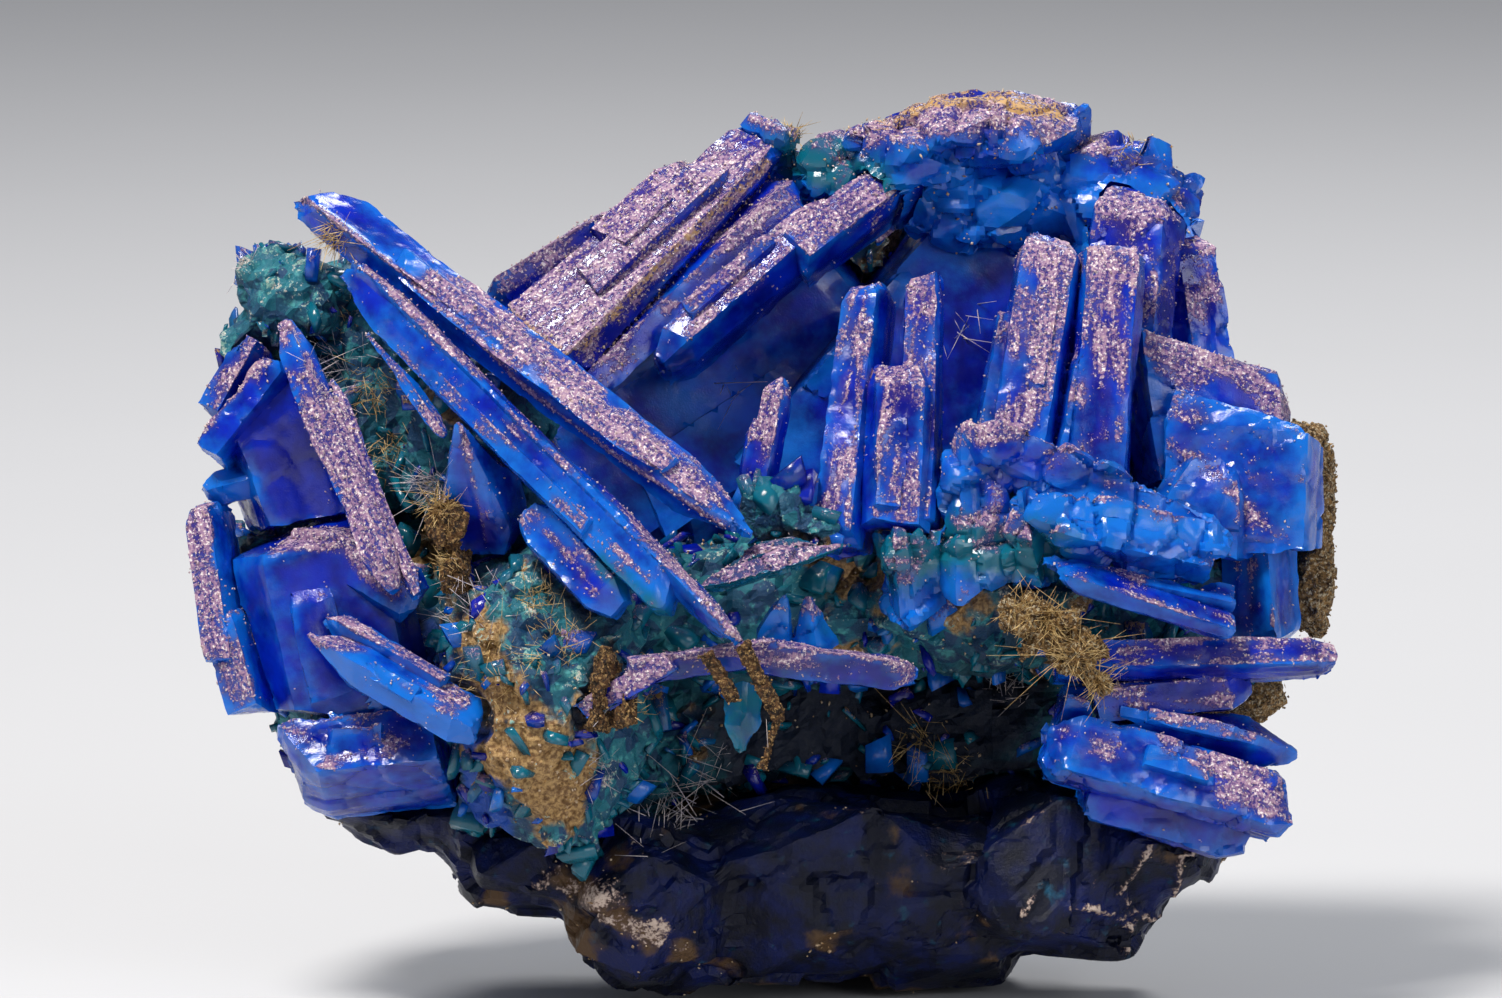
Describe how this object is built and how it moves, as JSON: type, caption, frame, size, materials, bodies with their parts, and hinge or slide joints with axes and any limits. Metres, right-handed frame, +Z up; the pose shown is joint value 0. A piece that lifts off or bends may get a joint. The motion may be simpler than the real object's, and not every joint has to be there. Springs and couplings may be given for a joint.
{
  "type": "chalcanthite crystal specimen",
  "caption": "Mineral specimen of long deep blue bladed crystals around an open recess, on granular teal matrix, resting on a flat cut base.",
  "frame": {"origin": "middle of the specimen's box, on its flat cut underside", "axes": "+X to the right as the display face is seen, +Y away from the viewer, +Z up"},
  "size_m": [0.0768, 0.0406, 0.0604],
  "materials": {
    "crystal_blue": "clear deep blue crystal, with a granular lilac-white bloom on the faces that look up",
    "massive_blue": "dark navy massive chalcanthite, frosted along its broken ridges",
    "matrix_teal": "rough granular teal and mint crust with ochre stains",
    "ochre": "crumbly ochre rind",
    "brown_iron": "rusty brown granular iron rods and crust"
  },
  "bodies": {
    "root": {"upper_long_blade": "crystal_blue", "lower_long_blade": "crystal_blue", "left_lath": "crystal_blue", "thin_lath": "crystal_blue", "pyramid_crystal": "crystal_blue", "left_roof_crystal": "crystal_blue", "left_edge_plate": "crystal_blue", "broad_left_crystal": "crystal_blue", "lower_left_blade": "crystal_blue", "lower_left_block": "crystal_blue", "top_left_slab": "crystal_blue", "second_slab": "crystal_blue", "third_slab": "crystal_blue", "twin_blades": "crystal_blue", "small_upright_crystal": "crystal_blue", "right_prisms": "crystal_blue", "centre_ridge": "crystal_blue", "right_laths": "crystal_blue", "right_bright_prism": "crystal_blue", "long_horizontal_blade": "crystal_blue", "lower_right_blade": "crystal_blue", "lowest_right_blade": "crystal_blue", "lying_flake": "crystal_blue", "small_wedges": "crystal_blue", "arch_blade": "crystal_blue", "hanging_shard": "crystal_blue", "brown_rod_upper": "brown_iron", "brown_rod_lower": "brown_iron", "brown_crust": "brown_iron", "upper_right_block": "crystal_blue", "right_block": "crystal_blue", "crest_side_slab": "crystal_blue", "inner_wall_crystals": "crystal_blue", "back_lower_blades": "crystal_blue", "back_upper_blades": "crystal_blue", "back_left_blades": "crystal_blue", "golden_crust": "ochre", "brown_nest": "brown_iron", "teal_lumps": "matrix_teal", "top_crest": "crystal_blue", "ochre_rind_upper": "ochre", "ochre_rind_lower": "ochre", "dark_foot": "massive_blue", "matrix": "matrix_teal"}
  },
  "joints": []
}
